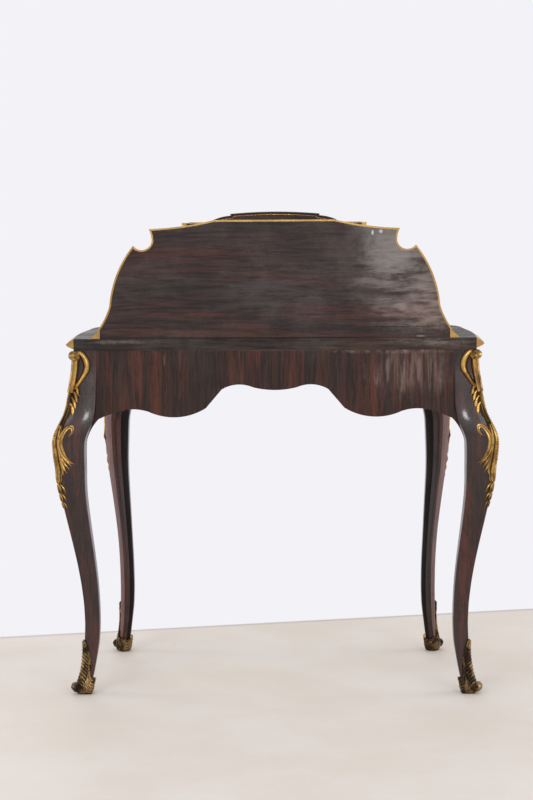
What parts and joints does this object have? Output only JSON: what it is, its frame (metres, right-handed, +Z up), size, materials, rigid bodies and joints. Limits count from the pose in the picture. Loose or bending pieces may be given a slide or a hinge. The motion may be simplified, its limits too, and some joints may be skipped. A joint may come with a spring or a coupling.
{
  "type": "bonheur du jour writing desk",
  "caption": "Small writing desk on four cabriole legs, with a frieze drawer and a low cabinet of a cupboard between banks of small drawers.",
  "frame": {"origin": "floor level, midway between the sides and midway between the front and rear extremes", "axes": "+Z up, the front and its drawers face -Y, the shaped back panel faces +Y, +X is the right side of someone sitting at the desk"},
  "size_m": [0.9248, 0.515, 1.009],
  "materials": {
    "rosewood": "french polished veneer",
    "oak": "plain, unpolished",
    "gilt_bronze": "worn gilding",
    "aged_bronze": "dark patina",
    "leather": "polished, gilt tooled border",
    "steel": "dull"
  },
  "bodies": {
    "table": {"leg_rear_right": "rosewood", "leg_rear_left": "rosewood", "leg_front_right": "rosewood", "leg_front_left": "rosewood", "rear_sabots": "aged_bronze", "front_sabots": "aged_bronze", "rear_chutes": "gilt_bronze", "front_chutes": "gilt_bronze", "back_apron": "rosewood", "side_apron_right": "rosewood", "side_apron_left": "rosewood", "top_rail": "rosewood", "drawer_rail": "oak", "drawer_runners": "oak", "tabletop": "rosewood", "edge_moulding": "gilt_bronze", "writing_leather": "leather", "back_panel": "rosewood", "panel_fillet": "gilt_bronze", "plinth": "oak", "side_wall_right": "rosewood", "side_wall_left": "rosewood", "bank_top_right": "rosewood", "bank_top_left": "rosewood", "drawer_dividers": "oak", "partition_right": "rosewood", "partition_left": "rosewood", "cupboard_top": "rosewood", "cupboard_shelf": "oak", "cove_moulding": "gilt_bronze", "cornice": "gilt_bronze", "pediment": "rosewood", "hinge_fixed_leaves": "gilt_bronze"},
    "frieze_drawer": {"frieze_drawer_front": "rosewood", "frieze_drawer_side_right": "oak", "frieze_drawer_side_left": "oak", "frieze_drawer_back": "oak", "frieze_drawer_bottom": "oak", "handle_plates": "gilt_bronze", "frieze_escutcheon": "gilt_bronze", "frieze_lock_case": "steel"},
    "bail_right": {"handle_bail_right": "gilt_bronze"},
    "bail_left": {"handle_bail_left": "gilt_bronze"},
    "frieze_key": {"frieze_key": "steel"},
    "frieze_bolt": {"frieze_lock_bolt": "steel"},
    "door": {"cupboard_door": "rosewood", "hinge_door_leaves": "gilt_bronze", "door_escutcheon": "gilt_bronze", "door_lock_case": "steel"},
    "door_key": {"door_key": "steel"},
    "door_bolt": {"door_lock_bolt": "steel"},
    "lower_right_drawer": {"lower_drawer_right": "rosewood", "lower_knob_right": "gilt_bronze"},
    "lower_left_drawer": {"lower_drawer_left": "rosewood", "lower_knob_left": "gilt_bronze"},
    "upper_right_drawer": {"upper_drawer_right": "rosewood", "upper_knob_right": "gilt_bronze"},
    "upper_left_drawer": {"upper_drawer_left": "rosewood", "upper_knob_left": "gilt_bronze"}
  },
  "joints": [
    {"name": "frieze_drawer_slide", "type": "slide", "parent": "table", "child": "frieze_drawer", "axis": [0, -1, 0], "range_m": [0, 0.24]},
    {"name": "bail_right_swing", "type": "hinge", "parent": "frieze_drawer", "child": "bail_right", "pos_m": [0.20047, -0.22324, 0.668], "axis": [-0.9986, -0.0524, 0], "range_deg": [0, 80]},
    {"name": "bail_left_swing", "type": "hinge", "parent": "frieze_drawer", "child": "bail_left", "pos_m": [-0.20047, -0.22324, 0.668], "axis": [-0.9986, 0.0524, 0], "range_deg": [0, 80]},
    {"name": "frieze_key_turn", "type": "hinge", "parent": "frieze_drawer", "child": "frieze_key", "pos_m": [0, -0.2195, 0.6935], "axis": [0, -1, 0], "range_deg": [0, 90]},
    {"name": "frieze_bolt_throw", "type": "slide", "parent": "frieze_drawer", "child": "frieze_bolt", "axis": [0, 0, 1], "range_m": [0, 0.007]},
    {"name": "door_swing", "type": "hinge", "parent": "table", "child": "door", "pos_m": [-0.17, 0.0377, 0.869], "axis": [0, 0, -1], "range_deg": [0, 90]},
    {"name": "door_key_turn", "type": "hinge", "parent": "door", "child": "door_key", "pos_m": [0.145, 0.0415, 0.866], "axis": [0, -1, 0], "range_deg": [0, 90]},
    {"name": "door_bolt_throw", "type": "slide", "parent": "door", "child": "door_bolt", "axis": [1, 0, 0], "range_m": [0, 0.007]},
    {"name": "lower_right_drawer_slide", "type": "slide", "parent": "table", "child": "lower_right_drawer", "axis": [0, -1, 0], "range_m": [0, 0.11]},
    {"name": "lower_left_drawer_slide", "type": "slide", "parent": "table", "child": "lower_left_drawer", "axis": [0, -1, 0], "range_m": [0, 0.11]},
    {"name": "upper_right_drawer_slide", "type": "slide", "parent": "table", "child": "upper_right_drawer", "axis": [0, -1, 0], "range_m": [0, 0.11]},
    {"name": "upper_left_drawer_slide", "type": "slide", "parent": "table", "child": "upper_left_drawer", "axis": [0, -1, 0], "range_m": [0, 0.11]}
  ],
  "couplings": [
    {"joint": "frieze_key_turn", "follows": "frieze_bolt_throw", "rad_per_m": 224.39},
    {"joint": "door_key_turn", "follows": "door_bolt_throw", "rad_per_m": 224.39}
  ]
}
